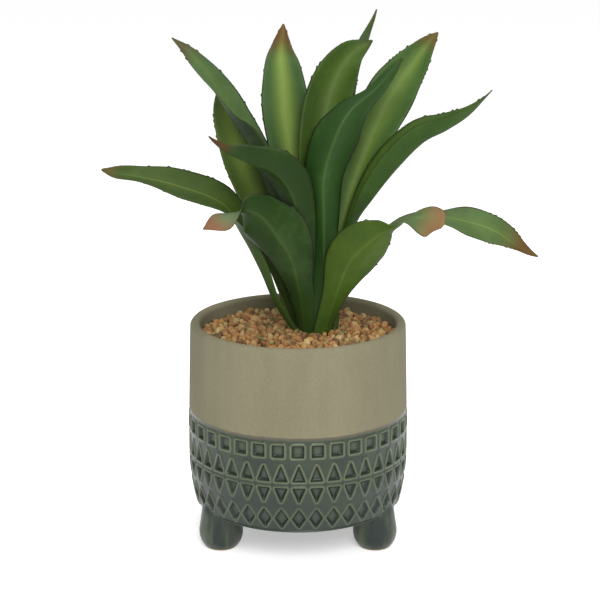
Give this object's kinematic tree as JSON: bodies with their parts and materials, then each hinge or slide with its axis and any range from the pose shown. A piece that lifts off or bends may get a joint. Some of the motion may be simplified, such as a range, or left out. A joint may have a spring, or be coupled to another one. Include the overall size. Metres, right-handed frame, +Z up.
{
  "type": "potted agave",
  "caption": "Broad-leaved agave standing in gravel in a three-footed stoneware pot with a bare upper wall and a glazed, patterned lower wall.",
  "frame": {"origin": "on the surface that the feet stand on, under the middle of the whole object's box; the pot's axis is 13.5 mm towards -X and 6 mm towards -Y from it", "axes": "+Z up; -Y towards the front of the plant, with two feet in front and one behind; +X to the right of it"},
  "size_m": [0.2374, 0.133, 0.2862],
  "materials": {
    "stoneware": "satin",
    "compost": "matte",
    "pebble": "matte",
    "stem": "matte",
    "leaf": "satin"
  },
  "bodies": {
    "root": {"pot": "stoneware", "soil": "compost", "gravel": "pebble", "stem": "stem", "leaf_left_low": "leaf", "leaf_left_back": "leaf", "leaf_left_high": "leaf", "leaf_front_left": "leaf", "leaf_front_hood": "leaf", "leaf_back_upright": "leaf", "leaf_back_curled": "leaf", "leaf_front_tall": "leaf", "leaf_back_tallest": "leaf", "leaf_right_back": "leaf", "leaf_right_high": "leaf", "leaf_front_right": "leaf", "leaf_right_low": "leaf", "leaf_back_low_left": "leaf", "leaf_back_low_right": "leaf"}
  },
  "joints": []
}
